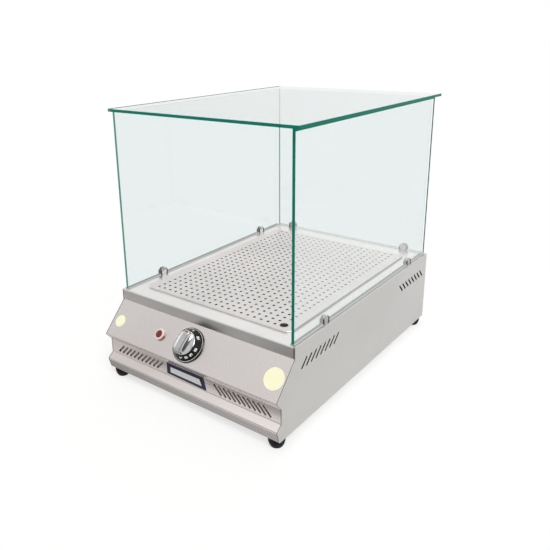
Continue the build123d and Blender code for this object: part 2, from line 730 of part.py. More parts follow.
# Feet: four rounded rubber pads, each with a bolt sunk in its recess and a nut on the base plate
foot_section_points = [
    (foot_bolt / 2 + fit_gap, foot_height), (foot_bolt / 2 + fit_gap, foot_recess_depth),
    (foot_recess / 2 + fit_gap, foot_recess_depth), (foot_recess / 2 + fit_gap, 0), (foot_base / 2, 0)]
for foot_name, (x, y) in zip(foot_names, foot_places):
    with BuildPart() as foot:
        with BuildSketch(Plane.XZ.offset(-y)) as foot_section:
            with BuildLine():
                foot_points = [(x + across, up) for across, up in foot_section_points]
                Polyline(*foot_points)
                shoulder = (x + foot_width / 2, foot_shoulder)
                TangentArc(shoulder, foot_points[-1], tangent=(0, -1))
                Polyline(shoulder, (x + foot_width / 2, foot_height), foot_points[0])
            make_face()
        revolve(axis=Axis((x, y, 0), (0, 0, 1)))
    save(foot, foot_name)

bolt_top = floor_z + 2 * foot_bolt
with BuildPart() as foot_bolts:
    with BuildSketch(Plane.XY.offset(foot_recess_depth)) as bolt_heads:
        with Locations(*foot_places):
            Circle(foot_bolt_head / 2)
    extrude(amount=-foot_bolt_head_height)
    with BuildSketch(Plane.XY.offset(foot_recess_depth)) as bolt_shanks:
        with Locations(*foot_places):
            Circle(foot_bolt / 2)
    extrude(amount=bolt_top - foot_recess_depth)
save(foot_bolts, "foot_bolts")

with BuildPart() as foot_nuts:
    with BuildSketch(Plane.XY.offset(floor_z)) as nut_outlines:
        with Locations(*foot_places):
            RegularPolygon(foot_nut_width / 2, 6)
        with Locations(*foot_places):
            Circle(foot_bolt / 2 + running_gap, mode=Mode.SUBTRACT)
    extrude(amount=foot_nut_height)
save(foot_nuts, "foot_nuts")

# Casing screws that hold the back panel to the cheeks' rear flanges
with BuildPart() as casing_screws:
    with BuildSketch(Plane.XZ.offset(-gland_face)) as casing_heads:
        with Locations(*screw_places):
            Circle(screw_head / 2)
    extrude(amount=-screw_head_height)
    fillet(casing_screws.faces().group_by(Axis.Y)[-1].edges(), radius=screw_head_height / 2)
    with BuildSketch(Plane.XZ.offset(-gland_face)) as casing_shanks:
        with Locations(*screw_places):
            Circle(screw / 2)
    extrude(amount=casing_screw_length)
save(casing_screws, "casing_screws")
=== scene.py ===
# %% [markdown]
# # A counter-top hamburger steamer
# The machine is a folded stainless steel base with a perforated tray on top and a glass
# case that is open at the front. The solid parts come from the CAD model. This file
# dresses them: it adds the camera, the studio, a material for every part, and the small
# pieces that the CAD model leaves out. Everything is in metres, +Z is up, and the control
# panel faces -Y.

# %% Load the solid parts
from math import atan2, cos, degrees, pi, radians, sin

import bpy
import numpy as np
from mathutils import Matrix, Vector
from mathutils.geometry import delaunay_2d_cdt


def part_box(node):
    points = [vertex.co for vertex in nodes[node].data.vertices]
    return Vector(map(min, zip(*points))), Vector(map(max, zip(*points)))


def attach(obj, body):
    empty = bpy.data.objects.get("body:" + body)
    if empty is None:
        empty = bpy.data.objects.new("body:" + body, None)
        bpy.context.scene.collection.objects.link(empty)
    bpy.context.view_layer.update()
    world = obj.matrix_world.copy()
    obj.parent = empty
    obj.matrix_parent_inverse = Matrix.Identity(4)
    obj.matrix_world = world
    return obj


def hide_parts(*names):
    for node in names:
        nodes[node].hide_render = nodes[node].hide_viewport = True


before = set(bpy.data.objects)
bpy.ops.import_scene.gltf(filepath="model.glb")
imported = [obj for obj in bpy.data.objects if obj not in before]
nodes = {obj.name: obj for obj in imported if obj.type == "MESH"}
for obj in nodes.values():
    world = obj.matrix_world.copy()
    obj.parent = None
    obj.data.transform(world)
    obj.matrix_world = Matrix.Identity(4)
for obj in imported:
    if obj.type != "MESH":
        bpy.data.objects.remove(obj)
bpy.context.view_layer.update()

MM = 0.001
print("solid parts:", len(nodes))

# %% [markdown]
# ## Where things are
# New pieces have to land exactly on the solid parts, so their places are read from the
# parts' own boxes. The sloping control panel has no box of its own. Two of its folds are
# known, and they give a local frame: x to the right, y up the slope, z out of the sheet.

# %% Places on the body
deck_low, deck_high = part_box("deck_frame")
FRONT, BACK, DECK = deck_low.y, deck_high.y, deck_high.z
HALF_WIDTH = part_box("right_side_panel")[1].x
LIP_DROP, PANEL_OUT, PANEL_DROP, RECESS_OUT = 0.022, 0.050, 0.076, 0.037
SLOPE = atan2(PANEL_DROP - LIP_DROP, PANEL_OUT)


def on_panel(points, x, down):
    """Panel-local points (n, 3) to the model's frame: origin + x * right + y * upslope + z * outwards."""
    origin = np.array((x, FRONT - down * cos(SLOPE), DECK - LIP_DROP - down * sin(SLOPE)))
    axes = np.array(((1, 0, 0), (0, cos(SLOPE), sin(SLOPE)), (0, -sin(SLOPE), cos(SLOPE))))
    return origin + np.asarray(points, float) @ axes


print(f"deck at {DECK:.3f} m, front {FRONT:.4f}, back {BACK:.4f}, panel slope {degrees(SLOPE):.1f} degrees")

# %% [markdown]
# ## The camera
# A camera can be worked out from the corners of a box whose proportions are known: each
# corner's pixel gives two equations. Twenty corners of the case and the base were solved
# together. The lens centre isn't in the middle of the picture, because the picture was
# cropped, so the camera has a small shift.

# %% Camera
CAMERA_PLACE = (0.6669, (FRONT + BACK) / 2 - 0.9766, DECK + 0.4683)
YAW, PITCH, ROLL = radians(38.1167), radians(17.2483), radians(-1.0357)
FOCAL_PX, CENTRE_X, CENTRE_Y, IMAGE = 611.65, 245.58, 223.48, 550.0

forward = Vector((-sin(YAW) * cos(PITCH), cos(YAW) * cos(PITCH), -sin(PITCH)))
level_right = Vector((cos(YAW), sin(YAW), 0))
level_up = level_right.cross(forward)
right = cos(ROLL) * level_right + sin(ROLL) * level_up
up = -sin(ROLL) * level_right + cos(ROLL) * level_up

lens = bpy.data.cameras.new("photo_camera")
lens.sensor_width = 36
lens.lens = FOCAL_PX / IMAGE * lens.sensor_width
lens.shift_x = (IMAGE / 2 - CENTRE_X) / IMAGE
lens.shift_y = (CENTRE_Y - IMAGE / 2) / IMAGE
camera = bpy.data.objects.new("photo_camera", lens)
bpy.context.scene.collection.objects.link(camera)
turn = Matrix((right, up, -forward)).transposed().to_4x4()
camera.matrix_world = Matrix.Translation(CAMERA_PLACE) @ turn
bpy.context.scene.camera = camera
print(f"lens {lens.lens:.2f} mm, shift {lens.shift_x:.4f} {lens.shift_y:.4f}")

# %% [markdown]
# ## Small helpers for materials
# Colours are written as sRGB hex values, as a picture editor shows them, and Blender wants
# linear light, so one function converts. One more adds a node with its settings and its
# links. The rest are the few node patterns that come back in every material.

# %% Helpers for colours and nodes


def linear(code):
    """sRGB hex to linear light: c / 12.92 below 0.04045, else ((c + 0.055) / 1.055) to the power 2.4."""
    c = np.array([int(code[i:i + 2], 16) for i in (1, 3, 5)]) / 255
    c = np.where(c <= 0.04045, c / 12.92, ((c + 0.055) / 1.055) ** 2.4)
    return (*c.tolist(), 1.0)


def add(tree, kind, sources=None, **settings):
    """Add one node. Each socket in sources gets a link from a node or an output, or else a constant."""
    node = tree.nodes.new(kind)
    for name, value in settings.items():
        if name in node.bl_rna.properties:
            setattr(node, name, value)
        else:
            node.inputs[name.replace("_", " ")].default_value = value
    for socket, source in (sources or {}).items():
        if isinstance(source, bpy.types.Node):
            source = source.outputs[0]
        if isinstance(source, bpy.types.NodeSocket):
            tree.links.new(source, node.inputs[socket])
        else:
            node.inputs[socket].default_value = source
    return node


def calc(tree, operation, *terms):
    """One Math node on its terms."""
    return add(tree, "ShaderNodeMath", dict(enumerate(terms)), operation=operation).outputs[0]


def axis(tree, vector, name):
    """One component of a vector."""
    return add(tree, "ShaderNodeSeparateXYZ", {0: vector}).outputs[name]


def ease(tree, source, start, end, low, high, kind="SMOOTHSTEP"):
    """Map Range: low before start, high after end, and a smooth way between them."""
    limits = {"From Min": start, "From Max": end, "To Min": low, "To Max": high}
    return add(tree, "ShaderNodeMapRange", {0: source, **limits}, interpolation_type=kind).outputs[0]


def stretch(tree, source, low, high):
    """Map Range in a straight way: low at 0, high at 1."""
    return ease(tree, source, 0.0, 1.0, low, high, "LINEAR")


def noise_of(tree, place, size, detail):
    """Noise between 0 and 1 whose blots are about as large as size."""
    return add(tree, "ShaderNodeTexNoise", {"Vector": place}, Scale=1 / size, Detail=detail).outputs["Fac"]


def two_tones(tree, source, first, last, start=0.0, end=1.0):
    """A colour ramp from one hex colour to another."""
    ramp = add(tree, "ShaderNodeValToRGB", {0: source})
    for stop, where, code in zip(ramp.color_ramp.elements, (start, end), (first, last)):
        stop.position = where
        stop.color = linear(code)
    return ramp.outputs[0]


def mix_colours(tree, share, first, last):
    """The first colour where the share is 0, the last where it is 1."""
    mixed = add(tree, "ShaderNodeMix", {"Factor": share, "A": first, "B": last}, data_type="RGBA")
    return mixed.outputs["Result"]


def mix_shaders(tree, share, first, last):
    """The first shader where the share is 0, the last where it is 1."""
    return add(tree, "ShaderNodeMixShader", {0: share, 1: first, 2: last})


print("mid grey, #808080, is", round(linear("#808080")[0], 3), "in linear light")

# %% Helpers for materials


def new_material(name):
    """An empty node material, its tree, and its Object coordinates."""
    material = bpy.data.materials.new(name)
    material.use_nodes = True
    tree = material.node_tree
    tree.nodes.clear()
    return material, tree, add(tree, "ShaderNodeTexCoord").outputs["Object"]


def surface(tree, shader):
    """Link a shader to the material's output."""
    add(tree, "ShaderNodeOutputMaterial", {"Surface": shader})


def dress(material, *names):
    """Give CAD parts a material through their slots, and leave their meshes alone."""
    for name in names:
        part = nodes[name]
        if not part.material_slots:
            part.data.materials.append(material)
        for part_slot in part.material_slots:
            part_slot.material = material
    print(material.name, "on", *names)


print("parts to dress:", *nodes)

# %% [markdown]
# ## The studio
# The machine stands on a pale floor in a white room. Brushed steel is only as bright as
# what it reflects, so the room is made for the reflections too. The Light Path node tells
# the world and the floor who is looking: the camera sees plain white, and steel and glass
# see a room that gets brighter to the back and the right, has a tall window on its far
# left, and is dark behind the camera. The dark part is what gives chrome its contrast.
# The floor adds its white on top of its own shading, so that the shadow of the machine
# stays on it.

# %% World
ROOM_LEVEL, TO_THE_BACK, TO_THE_RIGHT, WINDOW_LEVEL, DARK_LEVEL = 0.975, 0.155, 0.35, 0.7, 0.06
WINDOW_X, DARK_CONE = (-0.96, -0.80), (0.72, 0.95)
BEHIND_CAMERA = Vector((0.62, -0.55, 0.56)).normalized()


def seen_by(tree):
    """1 for rays from the camera, and 1 for rays from mirrors and glass."""
    path = add(tree, "ShaderNodeLightPath").outputs
    return path["Is Camera Ray"], calc(tree, "MAXIMUM", path["Is Glossy Ray"], path["Is Transmission Ray"])


world = bpy.data.worlds.new("white_room")
bpy.context.scene.world = world
world.use_nodes = True
tree = world.node_tree
tree.nodes.clear()
camera_ray, mirror_ray = seen_by(tree)
way = add(tree, "ShaderNodeTexCoord").outputs["Generated"]
way_x = axis(tree, way, "X")
room = calc(tree, "MULTIPLY_ADD", axis(tree, way, "Y"), TO_THE_BACK, ROOM_LEVEL)
room = calc(tree, "MULTIPLY_ADD", way_x, TO_THE_RIGHT, room)
room = calc(tree, "MULTIPLY_ADD", ease(tree, way_x, *WINDOW_X, 1.0, 0.0), WINDOW_LEVEL, room)
towards = add(tree, "ShaderNodeVectorMath", {0: way, 1: BEHIND_CAMERA}, operation="DOT_PRODUCT")
light_share = ease(tree, towards.outputs["Value"], *DARK_CONE, 1.0, DARK_LEVEL)
room = calc(tree, "MULTIPLY", room, light_share)
lit = add(tree, "ShaderNodeBackground", Color=linear("#FFFEFE"), Strength=0.55)
mirrored = add(tree, "ShaderNodeBackground", {"Strength": room}, Color=linear("#FFFEFE"))
white = add(tree, "ShaderNodeBackground", Color=linear("#FFFFFF"), Strength=1.0)
whole = mix_shaders(tree, camera_ray, mix_shaders(tree, mirror_ray, lit, mirrored), white)
add(tree, "ShaderNodeOutputWorld", {"Surface": whole})
print("world:", len(tree.nodes), "nodes")

# %% Floor
FLOOR_NEAR, FLOOR_FAR, FLOOR_MIRRORED, FLOOR_SEEN, FLOOR_REACH = -0.15, 0.75, (0.26, 0.36), 0.62, 30
floor_paint, tree, place = new_material("matt_pale_floor")
camera_ray, mirror_ray = seen_by(tree)
far_share = ease(tree, axis(tree, place, "Y"), FLOOR_NEAR, FLOOR_FAR, *FLOOR_MIRRORED)
strength = calc(tree, "MULTIPLY_ADD", camera_ray, FLOOR_SEEN, calc(tree, "MULTIPLY", mirror_ray, far_share))
matt = add(tree, "ShaderNodeBsdfDiffuse", Color=linear("#ADADAC"))
glow = add(tree, "ShaderNodeEmission", {"Strength": strength}, Color=linear("#FFFFFF"))
surface(tree, add(tree, "ShaderNodeAddShader", {0: matt, 1: glow}))


def stage_card(name, corners, paint):
    """A flat four-cornered card of the studio, which isn't part of the machine."""
    mesh = bpy.data.meshes.new(name)
    mesh.from_pydata(corners, [], [(0, 1, 2, 3)])
    mesh.materials.append(paint)
    card = bpy.data.objects.new(name, mesh)
    bpy.context.scene.collection.objects.link(card)
    print("stage:", name)
    return card


corners = [(x * FLOOR_REACH, y * FLOOR_REACH, 0) for x, y in ((-1, -1), (1, -1), (1, 1), (-1, 1))]
stage_card("floor", corners, floor_paint)

# %% [markdown]
# The key light is a sun lamp with a very wide disc. It lights the whole floor alike, which
# an area light can't, and its shadow is as soft as that of a big studio box.
# Three graded grey cards lie just above the floor in front of the machine, and only
# reflections see them. Studios use cards to give bright metal something dark to show.
# The farthest draws the band on the deck's lip, and the nearer ones shade the recess and
# the toe.
# A fourth, bright card hangs close to the panel's nose, and its underside lights the top
# of the belly. A card glows on one side only, so it spoils no other reflection.

# %% Key light and cards
SUN_WAY = Vector((-0.5, 0.35, -0.8))
key = bpy.data.lights.new("key_light", "SUN")
key.energy = 1.5
key.angle = radians(30)
key_holder = bpy.data.objects.new("key_light", key)
bpy.context.scene.collection.objects.link(key_holder)
key_holder.matrix_world = SUN_WAY.to_track_quat("-Z", "Y").to_matrix().to_4x4()

CARD_X, CARD_SPARE, CARD_LIFT, NEAR_SIDE = (-0.62, 0.16), 0.15, 0.01, (0.074, 0.057)
print("key light:", key.energy, "W/m2")


def graded_card(name, near, far, greys, near_share=1.0, height=None):
    """A level card from near to far in front of the machine, in greys (place along x, brightness).

    It glows on its top, or on its underside if it hangs at a height. The share dims its near side.
    """
    paint, tree, place = new_material(name)
    along = ease(tree, axis(tree, place, "X"), *CARD_X, 0.0, 1.0, "LINEAR")
    shade = add(tree, "ShaderNodeValToRGB", {0: along})
    shade.color_ramp.interpolation = "EASE"
    for where, _ in greys[1:-1]:
        shade.color_ramp.elements.new(where)
    for stop, (_, grey) in zip(shade.color_ramp.elements, greys):
        stop.color = (grey, grey * 0.97, grey * 0.96, 1)
    dimmed_from, dimmed_to = (FRONT - out for out in NEAR_SIDE)
    strength = ease(tree, axis(tree, place, "Y"), dimmed_from, dimmed_to, 1.0, near_share)
    glow = add(tree, "ShaderNodeEmission", {"Color": shade, "Strength": strength})
    side = add(tree, "ShaderNodeNewGeometry").outputs["Backfacing"]
    surface(tree, mix_shaders(tree, side, glow, add(tree, "ShaderNodeBsdfTransparent")))
    left, right = CARD_X[0] - CARD_SPARE, CARD_X[1] + CARD_SPARE
    corners = [(x, FRONT - out, height or CARD_LIFT) for x, out in (
        (left, far), (right, far), (right, near), (left, near))]
    card = stage_card(name, corners[::-1] if height else corners, paint)
    card.visible_camera = card.visible_diffuse = card.visible_shadow = card.visible_transmission = False


graded_card("lip_card", 0.16, 0.62, (
    (0.0, 0.18), (0.3, 0.27), (0.48, 0.31), (0.58, 0.31),
    (0.69, 0.36), (0.77, 0.31), (0.87, 0.18), (1.0, 0.10)))
graded_card("recess_card", 0.098, 0.16, (
    (0.0, 0.92), (0.25, 0.88), (0.45, 0.56), (0.62, 0.26), (0.7, 0.19), (1.0, 0.22)))
graded_card("toe_card", 0.040, 0.098, ((0.0, 0.62), (0.5, 0.66), (0.7, 0.77), (1.0, 0.90)), near_share=0.45)
graded_card("belly_card", 0.047, 0.095, ((0.0, 0.68), (0.5, 0.70), (0.75, 0.78), (1.0, 0.93)),
            height=DECK - 0.090)

# %% [markdown]
# ## Stainless steel
# The sheets are 304 stainless steel with a brushed finish: the rollers leave fine parallel
# scratches about a tenth of a millimetre apart. That is finer than a pixel here, so the
# grain is drawn 0.6 mm wide and 60 mm long, which still reads as brushed. Metal has no
# colour of its own apart from its reflection, so metallic is 1 and the base colour is the
# metal's tint. The scratches turn up in three places: a faint change of tint, of
# roughness, and a shallow bump.

# %% Brushed steel
GRAIN_WIDTH, GRAIN_LENGTH, CLOUD_SIZE = 0.6 * MM, 60 * MM, 160 * MM


def brushed_steel(name, tint, dark_tint, rough, grain_along,
                  soft_edge=0.0, right_edge=None, painted_shade_tint="#7C7A78"):
    """Steel with its grain along one axis: noise stretched 100 times. Past right_edge it is painted darker:
    painted shade.
    """
    material, tree, place = new_material(name)
    spread = np.full(3, 1 / GRAIN_WIDTH)
    spread["xyz".index(grain_along)] = 1 / GRAIN_LENGTH
    fine = add(tree, "ShaderNodeMapping", {"Vector": place, "Scale": spread})
    grain = add(tree, "ShaderNodeTexNoise", {"Vector": fine}, Scale=1.0, Detail=3.0, Roughness=0.6)
    grain = grain.outputs["Fac"]
    cloud = noise_of(tree, place, CLOUD_SIZE, 2.0)
    # The clouds are deepened by the grain: grain * cloud + cloud
    worn = calc(tree, "MULTIPLY_ADD", grain, cloud, cloud)
    colour = two_tones(tree, worn, dark_tint, tint, start=0.35)
    if right_edge:
        # Past right_edge the colour turns to a painted shade
        past = ease(tree, axis(tree, place, "X"), right_edge, right_edge + 0.2 * MM, 0.0, 1.0)
        colour = mix_colours(tree, past, colour, linear(painted_shade_tint))
    gloss = stretch(tree, grain, rough - 0.05, rough + 0.07)
    bump = add(tree, "ShaderNodeBump", {"Height": grain}, Strength=0.045, Distance=0.1 * MM)
    if soft_edge:
        rounded = add(tree, "ShaderNodeBevel", samples=8, Radius=soft_edge)
        tree.links.new(rounded.outputs[0], bump.inputs["Normal"])
    looks = {"Base Color": colour, "Roughness": gloss, "Normal": bump}
    surface(tree, add(tree, "ShaderNodeBsdfPrincipled", looks, Metallic=1.0))
    return material


front_steel = brushed_steel("brushed_304_steel_front", "#F2EDEB", "#ECE6E4", 0.25, "x")
# The deck is bent over a blunter tool than the rest, so its edges catch more light
# Outside the right pane the deck's margin is painted darker: painted shade over its bright reflection
deck_steel = brushed_steel("brushed_304_steel_deck", "#F6F5F3", "#EEEDEB", 0.30, "x", soft_edge=3.2 * MM,
                           right_edge=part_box("glass_right")[1].x + 1.6 * MM, painted_shade_tint="#B9B6B4")
side_steel = brushed_steel("brushed_304_steel_side", "#E9E7E5", "#E1DFDD", 0.34, "y")
# The tray's right bend is painted dark: a painted reflection of the dark room behind the camera
tray_steel = brushed_steel("satin_304_steel_tray", "#E8E6E4", "#DEDCDA", 0.40, "x",
                           right_edge=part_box("perforated_tray")[1].x - 1.9 * MM)
pan_steel = brushed_steel("rolled_304_steel_pan", "#C2C1BF", "#B4B3B1", 0.30, "y")
dress(front_steel, "front_fascia", "back_panel")
dress(deck_steel, "deck_frame")
dress(side_steel, "left_side_panel", "right_side_panel", "base_plate")
dress(pan_steel, "water_pan", "element_rests")

# %% [markdown]
# ## Small helpers for pieces
# A new piece is an array of points and a list of faces that rides on a body. Most are a
# closed outline carried through several places, with bands of quads as side walls.

# %% Helpers for pieces


def piece(name, points, faces, body, material, smooth=False):
    """Points (n, 3) in metres and faces as index lists become an object that rides on a body."""
    mesh = bpy.data.meshes.new(name)
    mesh.from_pydata(np.asarray(points, float).tolist(), [], [list(map(int, f)) for f in faces])
    mesh.validate()
    mesh.polygons.foreach_set("use_smooth", np.full(len(mesh.polygons), smooth))
    mesh.materials.append(material)
    made = bpy.data.objects.new(name, mesh)
    bpy.context.scene.collection.objects.link(made)
    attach(made, body)
    print(name, "rides on", body, "with", len(points), "points and", len(faces), "faces")
    return made


def band(rings):
    """Quads between neighbouring rings of an array (rings, around), closed around."""
    rings = np.asarray(rings)
    a, b = rings[:-1], rings[1:]
    return np.stack((a, np.roll(a, -1, 1), np.roll(b, -1, 1), b), -1).reshape(-1, 4)


def stack(loops):
    """A closed solid from loops (k, n, 3) of equal length: quads between them and a flat cap at each end."""
    loops = np.asarray(loops, float)
    k, n = loops.shape[:2]
    rings = np.arange(k * n).reshape(k, n)
    faces = [*band(rings).tolist(), rings[0][::-1].tolist(), rings[-1].tolist()]
    return loops.reshape(-1, 3), faces


def joined(parts):
    """Several (points, faces) as one."""
    starts = np.cumsum([0] + [len(points) for points, _ in parts])
    faces = [[i + start for i in face] for start, (_, faces) in zip(starts, parts) for face in faces]
    return np.concatenate([points for points, _ in parts]), faces


def rounded_rectangle(width, depth, corner, steps=8):
    """Outline (n, 2), counter-clockwise: each corner's centre plus radius * (cos, sin) of a quarter turn."""
    quarter = np.linspace(0, pi / 2, steps)
    angle = (quarter + np.arange(4)[:, None] * pi / 2).ravel()
    centre_x = np.repeat(np.array((1, -1, -1, 1)) * (width / 2 - corner), steps)
    centre_y = np.repeat(np.array((1, 1, -1, -1)) * (depth / 2 - corner), steps)
    return np.c_[centre_x + corner * np.cos(angle), centre_y + corner * np.sin(angle)]


def circle(radius, count=48):
    """Outline (n, 2) of a circle: radius times (cos, sin)."""
    angle = np.arange(count) * 2 * pi / count
    return radius * np.c_[np.cos(angle), np.sin(angle)]


def at_height(outline, z):
    """An outline (n, 2) lifted to height z."""
    return np.c_[outline, np.full(len(outline), z)]


print("a circle has", len(circle(1)), "points")

# %% [markdown]
# ## The perforated tray
# The tray is one sheet with 30 rows of 21 round holes, a larger hole to lift it by, which
# takes the place of two of them, and an edge turned down all round. Cutting hundreds of
# holes with booleans is slow and leaves poor faces. A constrained Delaunay triangulation
# is quick and exact: every hole is a ring of twelve points, all rings go into one call,
# and the triangles that fall inside a ring are dropped. The sheet's underside is the same
# triangulation turned over, and each ring of points gets a wall between the two.

# %% Sheet of the tray
tray_low, tray_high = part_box("perforated_tray")
TRAY_X, TRAY_Y = (tray_low.x + tray_high.x) / 2, (tray_low.y + tray_high.y) / 2
TRAY_WIDTH, TRAY_DEPTH = tray_high.x - tray_low.x, tray_high.y - tray_low.y
TRAY_CORNER, SHEET, SHOULDER, CORNER_STEPS = 0.014, 0.001, 0.0022, 10
HOLE_PITCH, HOLE_RADIUS, HOLE_POINTS, LIFT_POINTS = 0.0144, 0.0027, 12, 36
COLUMNS, ROWS = 21, 30
LIFT_X, LIFT_Y, LIFT_RADIUS = TRAY_WIDTH / 2 - 0.024, -TRAY_DEPTH / 2 + 0.0175, 0.0075


def tray_outline(inset):
    """The tray's rounded outline, drawn in all round."""
    width, depth = TRAY_WIDTH - 2 * inset, TRAY_DEPTH - 2 * inset
    return rounded_rectangle(width, depth, TRAY_CORNER - inset, CORNER_STEPS)


def tray_sheet():
    """Rings (cos, sin) about each hole's centre, a rounded outline, and the triangles between them."""
    columns = (np.arange(COLUMNS) - (COLUMNS - 1) / 2) * HOLE_PITCH
    rows = (np.arange(ROWS) - (ROWS - 1) / 2) * HOLE_PITCH
    centres = np.stack(np.meshgrid(columns, rows), -1).reshape(-1, 2)
    clear = np.hypot(*(centres - (LIFT_X, LIFT_Y)).T) > LIFT_RADIUS + HOLE_RADIUS
    centres = centres[clear]
    rings = centres[:, None] + circle(HOLE_RADIUS, HOLE_POINTS)
    lift = np.array((LIFT_X, LIFT_Y)) + circle(LIFT_RADIUS, LIFT_POINTS)
    loops = [*rings, lift, tray_outline(SHOULDER)]
    starts = np.cumsum([0] + [len(loop) for loop in loops])
    edges = np.concatenate([
        np.c_[np.arange(s, e), np.roll(np.arange(s, e), -1)] for s, e in zip(starts[:-1], starts[1:])])
    places = [Vector(p) for p in np.concatenate(loops).tolist()]
    found = delaunay_2d_cdt(places, edges.tolist(), [], 1, 1e-7)
    assert len(found[0]) == len(places), "the triangulation merged points"
    flat = np.array([tuple(p) for p in found[0]])
    triangles = np.array(found[2])
    middle = flat[triangles].mean(1)
    nearest = np.hypot(*(middle[:, None] - centres[None]).transpose(2, 0, 1)).min(1)
    keep = (nearest > HOLE_RADIUS * 0.97) & (np.hypot(*(middle - (LIFT_X, LIFT_Y)).T) > LIFT_RADIUS * 0.99)
    return flat, triangles[keep], starts


flat, triangles, starts = tray_sheet()
print("sheet:", len(flat), "points,", len(triangles), "triangles,", len(starts) - 3, "punchings")

# %% Rim of the tray


def tray_rim(top_z, foot_z):
    """Profile carried round the outline: over the bend by a quarter circle, down to the foot, and inside."""
    bend = np.linspace(0, pi / 2, 9)[1:]
    profile = [(SHOULDER * (1 - sin(a)), top_z - SHOULDER * (1 - cos(a))) for a in bend]
    profile += [(0, foot_z), (SHEET, foot_z)]
    return np.concatenate([at_height(tray_outline(inset), z) for inset, z in profile])


count = len(flat)
inside_loops = [np.arange(s, e) for s, e in zip(starts[:-2], starts[1:-1])]
edge_loop = np.arange(starts[-2], starts[-1])
rim = tray_rim(tray_high.z, tray_low.z)
points = np.concatenate((at_height(flat, tray_high.z), at_height(flat, tray_high.z - SHEET), rim))
walls = [band(np.array((loop + count, loop))) for loop in inside_loops]
rim_rings = 2 * count + np.arange(len(rim)).reshape(-1, len(edge_loop))
rim_faces = band(np.concatenate((edge_loop[None], rim_rings, edge_loop[None] + count)))[:, ::-1]
faces = [*triangles.tolist(), *(triangles[:, ::-1] + count).tolist(),
         *np.concatenate(walls).tolist(), *rim_faces.tolist()]
points[:, :2] += (TRAY_X, TRAY_Y)
tray = piece("punched_tray", points, faces, "tray", tray_steel)
bent = np.zeros(len(faces), bool)
bent[-len(rim_faces):] = True
tray.data.polygons.foreach_set("use_smooth", bent)
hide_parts("perforated_tray")

# %% [markdown]
# ## Plain finishes
# The smaller parts share a recipe: a base colour that a noise varies a little, a
# roughness, and a fine bump. What changes is what each one is made of, so the recipe
# takes a name, two colours, the grain's real size and how metallic and rough it is.

# %% Smaller finishes


def finish(name, colour, other_colour, grain_mm, rough, metallic=0.0, bump=0.1, glint=0.5,
           glow=0.0, glow_colour="#FFFFFF"):
    """Noise between two colours, the same noise as a shallow bump, one Principled shader."""
    material, tree, place = new_material(name)
    noise = noise_of(tree, place, grain_mm * MM, 4.0)
    looks = {
        "Base Color": two_tones(tree, noise, colour, other_colour, 0.3, 0.7),
        "Normal": add(tree, "ShaderNodeBump", {"Height": noise}, Strength=bump, Distance=0.1 * MM),
        "Roughness": stretch(tree, noise, rough * 0.9, rough * 1.15),
        "Metallic": metallic,
        "Specular IOR Level": glint,
        "Emission Color": linear(glow_colour),
        "Emission Strength": glow}
    surface(tree, add(tree, "ShaderNodeBsdfPrincipled", looks))
    return material


# Moulded black thermoset: hard, with a soft shine and a trace of orange peel
black_plastic = finish("moulded_black_thermoset", "#090909", "#121212", 1.2, 0.30, glint=0.3)
# Vulcanised rubber: dull, with a dusty bloom
rubber = finish("moulded_black_rubber", "#0A0A0A", "#161615", 3.0, 0.5, bump=0.3, glint=0.3)
# Chrome over zinc: a clean mirror, slightly cloudy from handling
chrome = finish("satin_chrome_plating", "#CBCBCC", "#DEDEDE", 6.0, 0.16, metallic=1.0, bump=0.03)
# Stamped stainless strip, left as rolled
clip_steel = finish("bright_rolled_steel_strip", "#B9B9B8", "#DADAD9", 2.5, 0.14, metallic=1.0)
# Clear zinc plating over steel: greyer and duller than stainless
zinc = finish("zinc_plated_steel", "#A6A8AA", "#C0C2C4", 1.0, 0.38, metallic=1.0)
# Turned brass, tarnished a little by steam
brass = finish("turned_brass", "#B08D4A", "#C9A765", 3.0, 0.3, metallic=1.0)
# Drawn copper tube, brown where the steam reaches it
copper = finish("drawn_copper", "#A5643F", "#C07C55", 4.0, 0.35, metallic=1.0)
# Annealed heater sheath: a dark oxide skin
sheath = finish("annealed_heater_sheath", "#3A3734", "#5A5550", 2.0, 0.5, metallic=1.0, bump=0.2)
# Phenolic moulding: brown-black, slightly speckled by its filler
phenolic = finish("phenolic_moulding", "#1B1411", "#2C231E", 0.8, 0.45)
# White nylon with a waxy surface
nylon = finish("white_nylon", "#DEDCD5", "#ECEAE4", 2.0, 0.42)
dress(black_plastic, "dial_ring", "knob_skirt", "lamp_nut", "cable_gland", "gland_nut")
dress(rubber, "foot_front_left", "foot_front_right", "foot_rear_left", "foot_rear_right")
dress(chrome, "knob_cap")
dress(clip_steel, "glass_clips")
dress(zinc, "thermostat_screws", "thermostat_shaft", "foot_bolts", "foot_nuts", "casing_screws")
dress(brass, "element_bushings", "capillary_gland", "earth_stud")
dress(copper, "sensor_bulb", "capillary_tube")
dress(sheath, "heating_element")
dress(phenolic, "thermostat_body")
dress(nylon, "terminal_block")

# %% [markdown]
# ## Glass
# Float glass is almost clear through its faces. Its green comes from iron in the sand, and
# it only shows where light has travelled a long way through it, which is at the cut edges.
# Tracing those long paths is slow and noisy, so the pane's faces and edges get different
# shaders, told apart by the direction they face. A face lets light straight through with
# a faint tint, adds a Fresnel reflection, and carries a thin veil of painted light, a pale
# glow that lightens what lies behind it. An edge is a deep teal with a painted glow, which
# stands in for the light it pipes from the whole pane. Seen from inside the pane an edge is
# clear, and a thin grey-green zone on the near face draws the far edge instead. The Fresnel
# node turns its index over for rays that come from inside the pane, so the index is turned
# over first, and both sides then reflect alike.

# %% Glass shader
GLASS_INDEX, MIRROR_SHARE, STREAK_SIZE = 1.52, 0.5, 25 * MM


def rim_zone(tree, place, backfacing, limits):
    """1 on the near face where an Object coordinate passes a limit (axis, sign, place), 0 elsewhere."""
    zone = 0.0
    for name, sign, limit in limits:
        test = "GREATER_THAN" if sign > 0 else "LESS_THAN"
        zone = calc(tree, "MAXIMUM", zone, calc(tree, test, axis(tree, place, name), limit))
    return calc(tree, "MULTIPLY", zone, calc(tree, "SUBTRACT", 1.0, backfacing))


